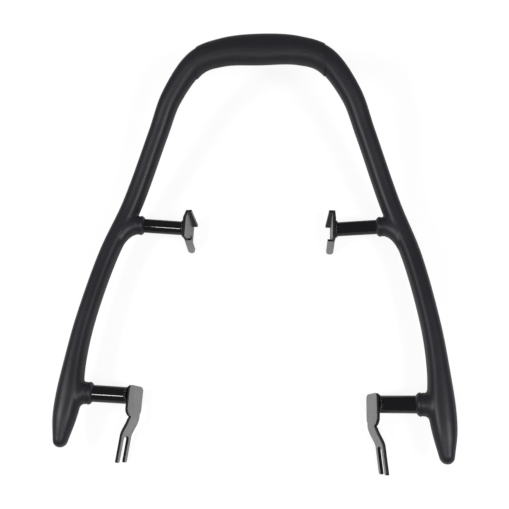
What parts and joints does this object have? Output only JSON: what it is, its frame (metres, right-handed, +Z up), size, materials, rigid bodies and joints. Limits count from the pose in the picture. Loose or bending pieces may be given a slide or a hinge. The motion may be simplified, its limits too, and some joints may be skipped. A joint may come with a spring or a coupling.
{
  "type": "motorcycle luggage rack",
  "caption": "Padded grab hoop for the tail of a motorcycle: bent tube in moulded grips and a rear pad, stub tubes inboard, forked front and flanged rear brackets.",
  "frame": {"origin": "middle of the hoop's length and width, on the ground under the rear brackets", "axes": "+X to the rider's right across the symmetry plane, +Y to the rear along the hoop, +Z up"},
  "size_m": [0.4638, 0.5267, 0.124],
  "materials": {
    "tube_black": "gloss black paint",
    "grip_skin": "fine-grained soft satin",
    "pad_skin": "leather-grained soft satin",
    "bracket_steel": "matt zinc plate"
  },
  "bodies": {
    "root": {"core_tube": "tube_black", "left_grip": "grip_skin", "right_grip": "grip_skin", "rear_pad": "pad_skin", "front_left_stub": "tube_black", "front_right_stub": "tube_black", "rear_left_stub": "tube_black", "rear_right_stub": "tube_black", "front_left_bracket": "bracket_steel", "front_right_bracket": "bracket_steel", "rear_left_bracket": "bracket_steel", "rear_right_bracket": "bracket_steel"}
  },
  "joints": []
}
